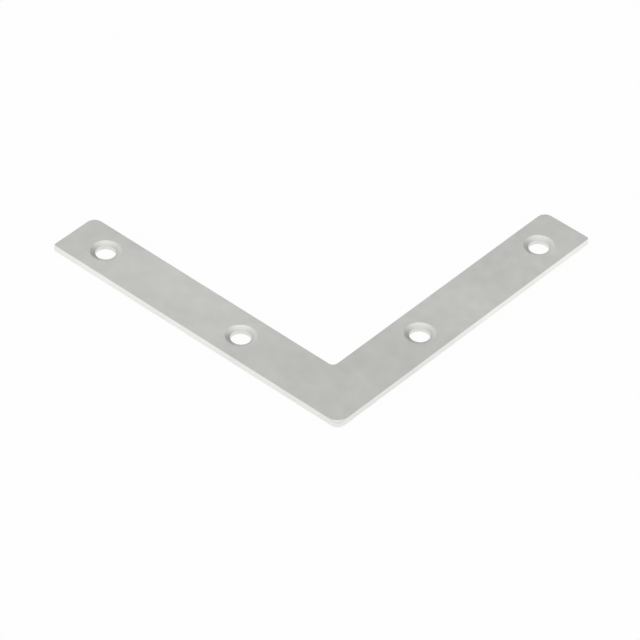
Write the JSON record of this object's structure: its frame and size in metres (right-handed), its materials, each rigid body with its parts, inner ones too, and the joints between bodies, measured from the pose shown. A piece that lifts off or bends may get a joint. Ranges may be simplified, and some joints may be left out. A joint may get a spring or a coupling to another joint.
{
  "type": "flat corner brace",
  "caption": "Flat L-shaped steel plate with countersunk screw holes along both arms, for joining or stiffening a frame corner from its face.",
  "frame": {"origin": "where the centrelines of the two arms cross, on the flat back face", "axes": "+X and +Y along the two arms, away from the corner; +Z out of the countersunk front face"},
  "size_m": [0.0999, 0.0999, 0.002],
  "materials": {
    "zinc_plated_steel": "satin zinc plating, dull"
  },
  "bodies": {
    "root": {"brace_plate": "zinc_plated_steel"}
  },
  "joints": []
}
